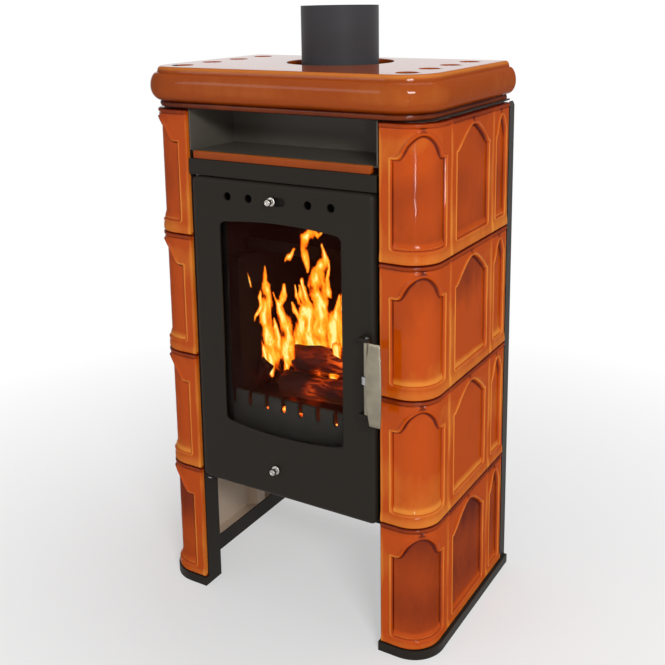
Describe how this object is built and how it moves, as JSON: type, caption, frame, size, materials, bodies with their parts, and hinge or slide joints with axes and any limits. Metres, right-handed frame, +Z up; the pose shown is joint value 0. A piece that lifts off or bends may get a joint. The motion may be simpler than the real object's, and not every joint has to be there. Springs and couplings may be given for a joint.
{
  "type": "tiled stove",
  "caption": "Tall wood stove with columns of relief tiles at both sides, a rounded ceramic slab top, a glazed steel fire door, a warming niche and a flue stub.",
  "frame": {"origin": "on the floor under the middle of the stove's bounding box", "axes": "+X to the viewer's right, +Y from the door to the back, +Z up"},
  "size_m": [0.618, 0.4323, 1.172],
  "materials": {
    "tile_glaze": "thick amber glaze, glossy, darker in the recesses",
    "slab_glaze": "amber glaze, glossy",
    "dark_enamel": "dark grey stove paint, satin",
    "stove_steel": "heat-proof black paint, matt",
    "flue_paint": "heat-proof dark paint, matt",
    "fire_brick": "light firebrick, sooted",
    "grate_iron": "raw casting, dull",
    "pan_steel": "galvanised, dull",
    "pin_steel": "plain steel",
    "satin_nickel": "satin nickel",
    "fire_glass": "clear heat-proof pane",
    "glass_rope": "woven glass-fibre rope"
  },
  "bodies": {
    "stove": {"ash_pan": "pan_steel", "baffle_plate": "fire_brick", "base_tray_left": "dark_enamel", "base_tray_right": "dark_enamel", "corner_tile_left_1": "tile_glaze", "corner_tile_left_2": "tile_glaze", "corner_tile_left_3": "tile_glaze", "corner_tile_left_4": "tile_glaze", "corner_tile_right_1": "tile_glaze", "corner_tile_right_2": "tile_glaze", "corner_tile_right_3": "tile_glaze", "corner_tile_right_4": "tile_glaze", "fascia": "dark_enamel", "fire_grate": "grate_iron", "firebox_shell": "stove_steel", "floor_bricks": "fire_brick", "flue_collar": "stove_steel", "flue_pipe": "flue_paint", "front_cheek_left": "dark_enamel", "front_cheek_right": "dark_enamel", "front_frame": "dark_enamel", "hinge_brackets": "dark_enamel", "hinge_pins": "pin_steel", "log_retainer": "grate_iron", "niche_box": "dark_enamel", "panel_screws": "pin_steel", "rear_panel": "dark_enamel", "rear_post_left": "dark_enamel", "rear_post_right": "dark_enamel", "rear_tiles_left": "tile_glaze", "rear_tiles_right": "tile_glaze", "shelf_bar": "slab_glaze", "side_rails": "dark_enamel", "side_tile_left_1": "tile_glaze", "side_tile_left_2": "tile_glaze", "side_tile_left_3": "tile_glaze", "side_tile_left_4": "tile_glaze", "side_tile_right_1": "tile_glaze", "side_tile_right_2": "tile_glaze", "side_tile_right_3": "tile_glaze", "side_tile_right_4": "tile_glaze", "top_plate": "dark_enamel", "top_slab": "slab_glaze", "wall_bricks": "fire_brick"},
    "door": {"door_panel": "dark_enamel", "glass_gasket": "glass_rope", "door_glass": "fire_glass", "glass_clips": "stove_steel", "gasket_channel": "stove_steel", "door_gasket": "glass_rope", "slider_guides": "stove_steel", "handle_lugs": "dark_enamel", "handle_pin": "pin_steel"},
    "handle": {"door_handle": "satin_nickel", "latch_hook": "pin_steel"},
    "upper_air": {"air_slider": "stove_steel", "air_slider_knob": "satin_nickel"},
    "lower_air": {"air_valve_rod": "pin_steel", "air_valve_knob": "satin_nickel"}
  },
  "joints": [
    {"name": "door_hinge", "type": "hinge", "parent": "stove", "child": "door", "pos_m": [-0.186, -0.16315, 0.556], "axis": [0, 0, -1], "range_deg": [0, 100]},
    {"name": "handle_turn", "type": "hinge", "parent": "door", "child": "handle", "pos_m": [0.188, -0.18715, 0.537], "axis": [0, 0, -1], "range_deg": [0, 20]},
    {"name": "upper_air_slide", "type": "slide", "parent": "door", "child": "upper_air", "axis": [1, 0, 0], "range_m": [0, 0.022]},
    {"name": "lower_air_pull", "type": "slide", "parent": "door", "child": "lower_air", "axis": [0, -1, 0], "range_m": [0, 0.012]}
  ]
}
